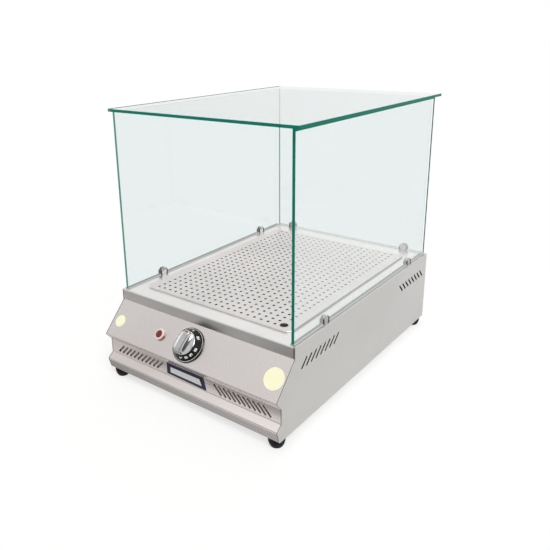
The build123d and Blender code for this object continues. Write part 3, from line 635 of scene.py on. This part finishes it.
def pane_face(tree, backfacing, tint, veil_glow):
    """Straight-through light with a tint, half a Fresnel reflection, and a share of painted pale glow."""
    camera_ray = add(tree, "ShaderNodeLightPath").outputs["Is Camera Ray"]
    index = stretch(tree, backfacing, GLASS_INDEX, 1 / GLASS_INDEX)
    reflected = calc(tree, "MULTIPLY", add(tree, "ShaderNodeFresnel", {"IOR": index}), MIRROR_SHARE)
    seen_tint = mix_colours(tree, camera_ray, linear("#FFFFFF"), linear(tint))
    clear = add(tree, "ShaderNodeBsdfTransparent", {"Color": seen_tint})
    mirror = add(tree, "ShaderNodeBsdfGlossy", Color=linear("#FFFFFF"), Roughness=0.0)
    # The veil is painted light: a pale glow that only the camera sees
    painted_veil = add(tree, "ShaderNodeEmission", Color=linear("#F1F5F4"), Strength=1.0)
    painted_veil_share = calc(tree, "MULTIPLY", camera_ray, veil_glow)
    return mix_shaders(tree, painted_veil_share, mix_shaders(tree, reflected, clear, mirror), painted_veil)


def pane_edge(tree, place, glow_tones):
    """Deep teal with faint streaks along it, and a painted glow."""
    glow = two_tones(tree, noise_of(tree, place, STREAK_SIZE, 2.0), *glow_tones)
    # The emission is painted light: it stands in for the light the edge pipes from the whole pane
    looks = {"Base Color": linear("#00453A"), "Roughness": 0.12, "Specular IOR Level": 0.1,
             "Emission Color": glow, "Emission Strength": 0.62}
    return add(tree, "ShaderNodeBsdfPrincipled", looks)


def pane_glass(name, across, tint, veil_glow, glow_tones=None, rims=(), faint_rims=(), faint=None):
    """Clear where the normal lies along one axis, a teal painted glow on edges that face the eye and in the
    rims.
    """
    material, tree, place = new_material(name)
    shape = add(tree, "ShaderNodeNewGeometry").outputs
    backfacing = shape["Backfacing"]
    whole = face = pane_face(tree, backfacing, tint, veil_glow)
    if glow_tones:
        edge = pane_edge(tree, place, glow_tones)
        turned = calc(tree, "ABSOLUTE", axis(tree, shape["True Normal"], across))
        is_face = calc(tree, "GREATER_THAN", turned, 0.9)
        whole = mix_shaders(tree, is_face, mix_shaders(tree, backfacing, edge, face), face)
    if rims:
        whole = mix_shaders(tree, rim_zone(tree, place, backfacing, rims), whole, edge)
    if faint_rims:
        grey = add(tree, "ShaderNodeBsdfTransparent", Color=linear(faint))
        whole = mix_shaders(tree, rim_zone(tree, place, backfacing, faint_rims), whole, grey)
    surface(tree, whole)
    return material


print("head-on mirror share:", round(((GLASS_INDEX - 1) / (GLASS_INDEX + 1)) ** 2 * MIRROR_SHARE, 3))

# %% Glass panes
left_low, left_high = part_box("glass_left")
right_low, right_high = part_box("glass_right")
back_low, back_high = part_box("glass_back")
top_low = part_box("glass_top")[0]
ARRIS = 0.5 * MM
# Each pane's edges get their own painted glow tones, palest on the left pane
left_glass = pane_glass("float_glass_left_pane", "X", "#F3F7F7", 0.06, ("#5B968B", "#73A99E"))
right_glass = pane_glass(
    "float_glass_right_pane", "X", "#FEFFFF", 0.16, ("#00604C", "#0A8A73"),
    rims=[("Z", 1, right_high.z - 4.5 * MM), ("Y", -1, right_low.y + 1.0 * MM)],
    faint_rims=[("Y", 1, right_high.y - ARRIS - 6.4 * MM)], faint="#44695F")
back_glass = pane_glass("float_glass_back_pane", "Y", "#F3F7F7", 0.06,
                        faint_rims=[("X", -1, back_low.x + ARRIS + 2.2 * MM)], faint="#7C9A94")
top_glass = pane_glass("float_glass_top_pane", "Z", "#F8F9F9", 0.15, ("#006A56", "#0A8A74"),
                       faint_rims=[("X", -1, top_low.x + ARRIS + 8.5 * MM)], faint="#6C8A82")
dress(left_glass, "glass_left")
dress(right_glass, "glass_right")
dress(back_glass, "glass_back")
dress(top_glass, "glass_top")

# %% [markdown]
# ## The strip along the foot of the glass
# The panes stand in a soft grey strip, which keeps steam in and takes up the gap over the
# deck. Its section is a U round the pane with sloping outsides. It stops short of the six
# clips, so it comes as separate runs. One section is drawn as (across, up) points and
# carried from one end of each run to the other. Short, taller lengths of the same section
# in black rubber finish both ends of every clip.

# %% Strip section and runs
PANE_FOOT = left_low.z
STRIP_FOOT, STRIP_TOP = DECK + 0.25 * MM, PANE_FOOT + 1.0 * MM
CLIP_HALF, PAD_LENGTH, PAD_TOP, GAP = 7 * MM, 1.8 * MM, DECK + 9.5 * MM, 0.1 * MM


def strip_run(low, high, start, end, along, out=2.4 * MM, wall=0.7 * MM, top=STRIP_TOP):
    """The U section round a pane from low to high (its two faces), from start to end along an axis."""
    skin = 0.05 * MM
    under = PANE_FOOT - skin
    section = np.array((
        (low - out, STRIP_FOOT), (high + out, STRIP_FOOT), (high + wall, top), (high + skin, top),
        (high + skin, under), (low - skin, under), (low - skin, top), (low - wall, top)))
    ends = [np.c_[section[:, 0], np.full(len(section), place), section[:, 1]] for place in (start, end)]
    if along == "y":
        return stack(ends[::-1])
    points, faces = stack(ends)
    return points[:, (1, 0, 2)], faces


def runs_between(start, end, clips):
    """Cut the length from start to end where the clips are."""
    reach = CLIP_HALF + PAD_LENGTH + 2 * GAP
    stops = [start, *[clip + side * reach for clip in clips for side in (-1, 1)], end]
    return list(zip(stops[::2], stops[1::2]))


def pad_runs(clips):
    """The short length past each end of each clip."""
    near, far = CLIP_HALF + GAP, CLIP_HALF + GAP + PAD_LENGTH
    return [run for clip in clips for run in ((clip - far, clip - near), (clip + near, clip + far))]


print(f"the panes stand at {PANE_FOOT / MM:.2f} mm in a strip {(STRIP_TOP - STRIP_FOOT) / MM:.2f} mm high")

# %% Foot strips and clip pads
SIDE_CLIPS, BACK_CLIPS, BACK_GAP = (FRONT + 0.102, BACK - 0.086), (-0.148, 0.148), 2.5 * MM
PAD_OUT, PAD_WALL, BLOT_SIZE = 1.9 * MM, 1.7 * MM, 9 * MM


def soft_vinyl(name, colour, other_colour, foot_shade_colour):
    """Extruded soft vinyl: clouded, waxy, with a painted glow, and painted shade along its foot."""
    material, tree, place = new_material(name)
    clean = two_tones(tree, noise_of(tree, place, BLOT_SIZE, 3.0), colour, other_colour)
    # Painted shade: the colour darkens towards the strip's foot, where it meets the deck
    foot_shade_share = ease(tree, axis(tree, place, "Z"), STRIP_FOOT + 0.5 * MM, STRIP_FOOT + 1.1 * MM, 1.0, 0.0)
    tone = mix_colours(tree, foot_shade_share, clean, linear(foot_shade_colour))
    # The emission is painted light that lightens the strip's shaded walls
    looks = {"Base Color": tone, "Emission Color": tone, "Emission Strength": 0.22, "Roughness": 0.4}
    surface(tree, add(tree, "ShaderNodeBsdfPrincipled", looks))
    return material


side_runs = runs_between(left_low.y, back_low.y - BACK_GAP, SIDE_CLIPS)
back_runs = runs_between(back_low.x, back_high.x, BACK_CLIPS)
# One vinyl in three tones, one for each side: painted light and shade, palest at the back and darkest on the
# left
grey_vinyl = soft_vinyl("grey_soft_vinyl", "#A0A3A1", "#AEB1AF", "#9DA09E")
back_strip_vinyl = soft_vinyl("back_strip_soft_vinyl", "#C3C8C6", "#D2D6D4", "#B4B8B6")
right_strip_vinyl = soft_vinyl("right_strip_soft_vinyl", "#A6AAA8", "#B2B6B4", "#A2A5A3")
left_wall, right_wall = (left_low.x, left_high.x), (right_low.x, right_high.x)
back_wall = (back_low.y, back_high.y)
for name, wall, runs, along, vinyl in (
        ("foot_strip_left", left_wall, side_runs, "y", grey_vinyl),
        ("foot_strip_right", right_wall, side_runs, "y", right_strip_vinyl),
        ("foot_strip_back", back_wall, back_runs, "x", back_strip_vinyl)):
    points, faces = joined([strip_run(*wall, *run, along) for run in runs])
    piece(name, points, faces, "glass_case", vinyl)
pads = [strip_run(*wall, *run, along, PAD_OUT, PAD_WALL, PAD_TOP) for wall, clips, along in (
    (left_wall, SIDE_CLIPS, "y"), (right_wall, SIDE_CLIPS, "y"), (back_wall, BACK_CLIPS, "x"))
    for run in pad_runs(clips)]
points, faces = joined(pads)
piece("clip_pads", points, faces, "base", rubber)

# %% [markdown]
# ## Seams at the cheeks
# The front sheet ends a hair short of each cheek, and the gap's shadow shows as a thin dark
# line that follows the folded outline. The line is a slim dark bead, painted shade for that
# shadow: a flat section carried along the outline, whose corners are arcs. For a corner
# with turning angle a and radius r, the arc starts r * tan(a / 2) before the corner.

# %% Cheek seams
RECESS_TOP, RECESS_FOOT, BELLY_OUT, BELLY_DROP, TOE_OUT = 0.091, 0.119, 0.049, 0.128, 0.043
FOOT_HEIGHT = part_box("right_side_panel")[0].z
OUTLINE = np.array((
    (FRONT, DECK - 1.0 * MM), (FRONT, DECK - LIP_DROP), (FRONT - PANEL_OUT, DECK - PANEL_DROP),
    (FRONT - RECESS_OUT, DECK - RECESS_TOP), (FRONT - RECESS_OUT, DECK - RECESS_FOOT),
    (FRONT - BELLY_OUT, DECK - BELLY_DROP), (FRONT - TOE_OUT, FOOT_HEIGHT + 0.5 * MM)))
BENDS = (0.002, 0.002, 0.002, 0.002, 0.004)
SEAM_IN, SEAM_OUT, SEAM_NEAR, SEAM_FAR = 0.3 * MM, 0.12 * MM, 1.75 * MM, 0.85 * MM


def rounded_path(corners, radii, steps=5):
    """Points (n, 2) along straight runs joined by arcs, and the outward direction at each."""
    path = [corners[0]]
    for before, corner, after, radius in zip(corners[:-2], corners[1:-1], corners[2:], radii):
        one, two = ((end - corner) / np.hypot(*(end - corner)) for end in (before, after))
        half = np.arccos(np.clip(one @ two, -1, 1)) / 2
        centre = corner + (one + two) / np.hypot(*(one + two)) * radius / sin(half)
        first, last = (corner + side * radius / np.tan(half) - centre for side in (one, two))
        for t in np.linspace(0, 1, steps):
            spoke = first * (1 - t) + last * t
            path.append(centre + spoke / np.hypot(*spoke) * radius)
    path = np.array([*path, corners[-1]])
    step = np.gradient(path, axis=0)
    step /= np.hypot(*step.T)[:, None]
    return path, np.c_[step[:, 1], -step[:, 0]]


# The bead's dark grey is painted shade for the gap
seam_shade = finish("painted_seam_shade", "#3E3A38", "#5B5654", 2.0, 0.6)
outline, outwards = rounded_path(OUTLINE, BENDS)
inside, outside = outline - outwards * SEAM_IN, outline + outwards * SEAM_OUT
for name, hand in (("seam_left", -1), ("seam_right", 1)):
    near, far = hand * (HALF_WIDTH - SEAM_NEAR), hand * (HALF_WIDTH - SEAM_FAR)
    corners = ((near, inside), (near, outside), (far, outside), (far, inside))[::-hand]
    points, faces = stack(np.stack([np.c_[np.full(len(line), x), line] for x, line in corners], 1))
    piece(name, points, faces, "base", seam_shade)

# %% [markdown]
# ## The indicator lamp
# The lamp has a pale bezel of milky plastic whose pink is painted light from the red lens,
# and a small red lens. The wall of the bezel that faces down and right is painted deeper in
# colour: painted shade. The lens is moulded with a few coarse facets inside.

# %% Lamp
DOWN_RIGHT = (0.75 * cos(0.6), 0, -0.75 * sin(0.6))
bezel_plastic, tree, place = new_material("milky_polycarbonate_painted_light")
pale = two_tones(tree, noise_of(tree, place, 5 * MM, 2.0), "#EFCFC9", "#F8E9E5")
normal = add(tree, "ShaderNodeNewGeometry").outputs["Normal"]
facing = add(tree, "ShaderNodeVectorMath", {0: normal, 1: DOWN_RIGHT}, operation="DOT_PRODUCT")
# The side facing down and right is painted darker: painted shade
shaded = ease(tree, facing.outputs["Value"], 0.05, 0.6, 0.0, 1.0)
tone = mix_colours(tree, shaded, pale, linear("#A86F66"))
surface(tree, add(tree, "ShaderNodeBsdfPrincipled", {"Base Color": tone}, Roughness=0.22))
dress(bezel_plastic, "lamp_bezel")

lens_plastic, tree, place = new_material("red_acrylic_lens")
facets = add(tree, "ShaderNodeTexVoronoi", {"Vector": place}, Scale=1 / (4.0 * MM)).outputs["Distance"]
red = two_tones(tree, facets, "#8F3024", "#4C130E")
relief = add(tree, "ShaderNodeBump", {"Height": facets}, Strength=0.4, Distance=0.5 * MM)
looks = {"Base Color": red, "Normal": relief, "Roughness": 0.25, "Coat Weight": 0.15}
surface(tree, add(tree, "ShaderNodeBsdfPrincipled", looks))
dress(lens_plastic, "lamp_lens")

# %% [markdown]
# ## Scale on the knob
# The skirt under the knob's cap carries a printed scale. The numbers lie on a cone, so
# each is set as flat text, turned into a mesh, and then bent: a point's x becomes an
# angle round the knob, and its y a distance up the cone's side.

# %% Scale numbers
KNOB_X, KNOB_DOWN = -0.005, 0.0375
CONE_LOW = np.array((0.0285, 0.005))
CONE_HIGH = np.array((0.0230, 0.014))
SCALE = ((83, "0"), (40, "30"), (-9, "60"), (-35, "70"), (-58, "80"), (-82, "90"), (-131, "110"))
NUMBER_SIZE, NUMBER_LIFT, NUMBER_STROKE = 6.2 * MM, 0.08 * MM, 0.42 * MM


def flat_text(words):
    """The outline of a word as a thin mesh, centred on x and y."""
    curve = bpy.data.curves.new("words", "FONT")
    curve.body, curve.size = words, NUMBER_SIZE
    curve.align_x = curve.align_y = "CENTER"
    curve.extrude = NUMBER_LIFT
    curve.offset = NUMBER_STROKE
    curve.resolution_u = 3
    holder = bpy.data.objects.new("words", curve)
    bpy.context.scene.collection.objects.link(holder)
    bpy.context.view_layer.update()
    mesh = bpy.data.meshes.new_from_object(holder)
    points = np.array([tuple(v.co) for v in mesh.vertices])
    faces = [tuple(p.vertices) for p in mesh.polygons]
    bpy.data.objects.remove(holder)
    return points, faces


def on_cone(points, start):
    """Bend flat points round the knob: angle = start - x / radius, and y runs up the cone's side."""
    side = CONE_HIGH - CONE_LOW
    side = side / np.hypot(*side)
    outward = np.array((side[1], -side[0]))
    middle = (CONE_LOW + CONE_HIGH) / 2
    radius = middle[0] + points[:, 1] * side[0] + points[:, 2] * outward[0]
    height = middle[1] + points[:, 1] * side[1] + points[:, 2] * outward[1]
    angle = radians(start) - points[:, 0] / middle[0]
    return np.c_[radius * np.cos(angle), radius * np.sin(angle), height]


white_print = finish("white_pad_print", "#E9E9E6", "#F6F6F3", 1.0, 0.5)
parts = []
for start, words in SCALE:
    points, faces = flat_text(words)
    # The bend turns each face over, so its points are listed backwards
    parts.append((on_cone(points, start), [face[::-1] for face in faces]))
points, faces = joined(parts)
points = on_panel(points, KNOB_X, KNOB_DOWN)
scale = piece("knob_scale", points, faces, "knob", white_print)
scale.visible_glossy = False

# %% [markdown]
# ## The knob's cap
# The bright cap is pressed with a straight ridge across it, and each side of the ridge is
# scooped out. A scoop matters to the look: it mirrors the dark room near the ridge and
# the bright window near the rim. The surface is a height over the disc,
#     height = ridge height * (1 - sqrt(1 - (1 - s)^2)) * edge
# where s goes from 0 at the ridge to 1 at the rim, so the curve is a quarter circle, and
# edge = sqrt(1 - (r / R)^10) rounds everything off at the rim.

# %% Cap surface
CAP_FOOT, CAP_RIM, CAP_RADIUS, RIDGE_HALF, RIDGE_HEIGHT = 0.014, 0.0155, 0.022, 0.0058, 0.009
LEAN = radians(7)


def ridge_half(reach):
    """Half the ridge's width, which narrows where the disc does."""
    return np.minimum(RIDGE_HALF, 0.92 * reach)


def cap_height(across, along):
    """Height over the cap's rim at a distance across and along the ridge."""
    reach = np.sqrt(np.maximum(CAP_RADIUS ** 2 - along ** 2, 1e-12))
    half = ridge_half(reach)
    s = np.clip((np.abs(across) - half) / (reach - half), 0, 1)
    scoop = np.where(s > 0, 1 - np.sqrt(1 - (1 - s) ** 2), 1.0)
    edge = np.sqrt(np.clip(1 - (np.hypot(across, along) / CAP_RADIUS) ** 10, 0, 1))
    return RIDGE_HEIGHT * scoop * edge


def on_cap(across, along, lift=0.0):
    """Ridge-local places to panel-local ones on the cap: the ridge leans a little to the right."""
    x = across * cos(LEAN) + along * sin(LEAN)
    y = along * cos(LEAN) - across * sin(LEAN)
    return np.stack((x, y, CAP_RIM + cap_height(across, along) + lift), -1)


def cap_grid():
    """Rows along the ridge; in each row, columns close up towards the ridge's two shoulders."""
    along = CAP_RADIUS * np.sin(np.linspace(-pi / 2 + 0.06, pi / 2 - 0.06, 61))[:, None]
    reach = np.sqrt(CAP_RADIUS ** 2 - along ** 2)
    half = ridge_half(reach)
    out = np.linspace(0, 1, 15)[1:] ** 2
    side = half + (reach - half) * out
    across = np.concatenate((-side[:, ::-1], half * np.linspace(-1, 1, 9), side), 1)
    return on_cap(across, np.broadcast_to(along, across.shape))


def grid_faces(rows, columns):
    """Quads of a grid of points, and the loop of points round its border."""
    index = np.arange(rows * columns).reshape(rows, columns)
    quads = np.stack((index[:-1, :-1], index[:-1, 1:], index[1:, 1:], index[1:, :-1]), -1).reshape(-1, 4)
    return quads, np.concatenate((index[0, :-1], index[:-1, -1], index[-1, :0:-1], index[:0:-1, 0]))


grid = cap_grid()
quads, border = grid_faces(*grid.shape[:2])
grid = grid.reshape(-1, 3)
wall_top, wall_foot = (grid[border] * (1, 1, 0) + (0, 0, z) for z in (CAP_RIM - 0.4 * MM, CAP_FOOT))
top_ring = len(grid) + np.arange(len(border))
foot_ring = top_ring + len(border)
faces = [*quads.tolist(), *band(np.array((foot_ring, top_ring, border))).tolist(), foot_ring[::-1].tolist()]
points = on_panel(np.concatenate((grid, wall_top, wall_foot)), KNOB_X, KNOB_DOWN)
cap = piece("scooped_cap", points, faces, "knob", chrome, smooth=True)
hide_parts("knob_cap")
# The lip above mirrors the knob's black side; the bright cap stays out of that reflection
cap.visible_glossy = False

# %% Red mark and dial line
MARK_HALF, MARK_REACH, MARK_PROUD, MARK_SUNK = 0.0034, (0.0168, 0.0192), 0.12 * MM, 0.2 * MM
LINE_RADII, LINE_HEIGHTS, LINE_POINTS = (29.4 * MM, 30.2 * MM), (2.4 * MM, 2.62 * MM), 96

# The red mark is a patch of the cap's own surface, 0.12 mm proud of it
red_print = finish("red_pad_print", "#9E2F2C", "#B23A36", 1.0, 0.4)
across, along = np.meshgrid(np.linspace(-MARK_HALF, MARK_HALF, 9), np.linspace(*MARK_REACH, 5))
quads, border = grid_faces(*across.shape)
size = across.size
faces = [*quads.tolist(), *(quads[:, ::-1] + size).tolist(),
         *band(np.array((border + size, border))).tolist()]
points = np.concatenate([on_cap(across, along, lift).reshape(-1, 3) for lift in (MARK_PROUD, -MARK_SUNK)])
piece("red_mark", on_panel(points, KNOB_X, KNOB_DOWN), faces, "knob", red_print)

# A thin bright line runs round the dial ring: four circles, and the last joins the first
inner, outer = LINE_RADII
low, high = LINE_HEIGHTS
loops = [at_height(circle(radius, LINE_POINTS), z) for radius, z in (
    (inner, low), (outer, low), (outer, high), (inner, high))]
rings = np.arange(4 * LINE_POINTS).reshape(4, LINE_POINTS)
faces = band(np.concatenate((rings, rings[:1])))
points = on_panel(np.concatenate(loops), KNOB_X, KNOB_DOWN)
piece("dial_line", points, faces, "base", white_print)

# %% [markdown]
# ## Stickers and plates
# The panel carries two plain pale-yellow vinyl stickers, and the recess a bare dark-blue
# plate with a pale inlay. Each is a flat outline with thickness and a small bevel, made
# as a stack of loops: the same outline at rising heights, drawn in at the top.

# %% Stickers and plate
ROUND_STICKER, SMALL_STICKER = (0.1775, 0.0379), (-0.180, 0.041)
PLATE_X, PLATE_DOWN, PLATE_THICK, INLAY_SHARE = -0.0035, 0.1045, 0.8 * MM, (0.80, 0.50)
PLATE = np.array(((-0.0465, -0.0095), (0.0465, -0.0115), (0.0400, 0.0115), (-0.0465, 0.0115)))
THIN, THIN_BEVEL = 0.3 * MM, 0.1 * MM


def plaque(outline, thickness=THIN, bevel=THIN_BEVEL):
    """Loops of one outline: foot, shoulder, and a top drawn in by the bevel towards the middle."""
    middle = outline.mean(0)
    reach = np.hypot(*(outline - middle).T)[:, None]
    drawn_in = middle + (outline - middle) * (1 - bevel / reach)
    loops = (outline, 0), (outline, thickness - bevel), (drawn_in, thickness)
    return stack([at_height(loop, z) for loop, z in loops])


def in_recess(points, lift=0.0):
    """Plate-local points to the recess face: x to the right, y up, z towards the front."""
    x, y, z = np.asarray(points, float).T
    return np.c_[x + PLATE_X, FRONT - RECESS_OUT - (z + lift), y + DECK - PLATE_DOWN]


# The stickers' faint glow is painted light
vinyl = finish("pale_yellow_vinyl", "#FBFAD0", "#FFFEE0", 8.0, 0.45, glow=0.09, glow_colour="#FBF9C8")
for name, place, outline in (("round_sticker", ROUND_STICKER, circle(18.5 * MM, 64)),
                             ("small_sticker", SMALL_STICKER, circle(11.5 * MM, 48))):
    points, faces = plaque(outline)
    piece(name, on_panel(points, *place), faces, "base", vinyl)
navy = finish("dark_blue_enamelled_plate", "#15153A", "#1D1D48", 4.0, 0.3)
points, faces = plaque(PLATE, PLATE_THICK, 0.2 * MM)
piece("bare_plate", in_recess(points), faces, "base", navy)
points, faces = plaque(PLATE * INLAY_SHARE)
piece("bare_plate_inlay", in_recess(points, PLATE_THICK), faces, "base", white_print)

# %% [markdown]
# ## Baffles behind the front slots
# Steam and fat would run into the base through the slots, so a grey sheet stands close
# behind each row. It also keeps the slots from being pitch black: some light comes back
# out of them.

# %% Baffles
BAFFLE_WIDTH, BAFFLE_HEIGHT, BAFFLE_CORNER, BAFFLE_THICK = 0.118, 0.027, 0.003, 0.6 * MM
BAFFLE_X, BAFFLE_DOWN, BAFFLE_BEHIND = 0.120, 0.105, 3.0 * MM
galvanised = finish("galvanised_sheet", "#8F8A84", "#A9A49D", 7.0, 0.55)
front_y = FRONT - RECESS_OUT + BAFFLE_BEHIND
parts = []
for hand in (-1, 1):
    outline = rounded_rectangle(BAFFLE_WIDTH, BAFFLE_HEIGHT, BAFFLE_CORNER)
    outline = outline + (hand * BAFFLE_X, DECK - BAFFLE_DOWN)
    parts.append(stack([np.c_[outline[:, 0], np.full(len(outline), y), outline[:, 1]]
                        for y in (front_y + BAFFLE_THICK, front_y)]))
points, faces = joined(parts)
piece("slot_baffles", points, faces, "base", galvanised)

# %% [markdown]
# ## Finish
# The colour view is set to Standard.

# %% Finish
bpy.context.scene.view_settings.view_transform = "Standard"
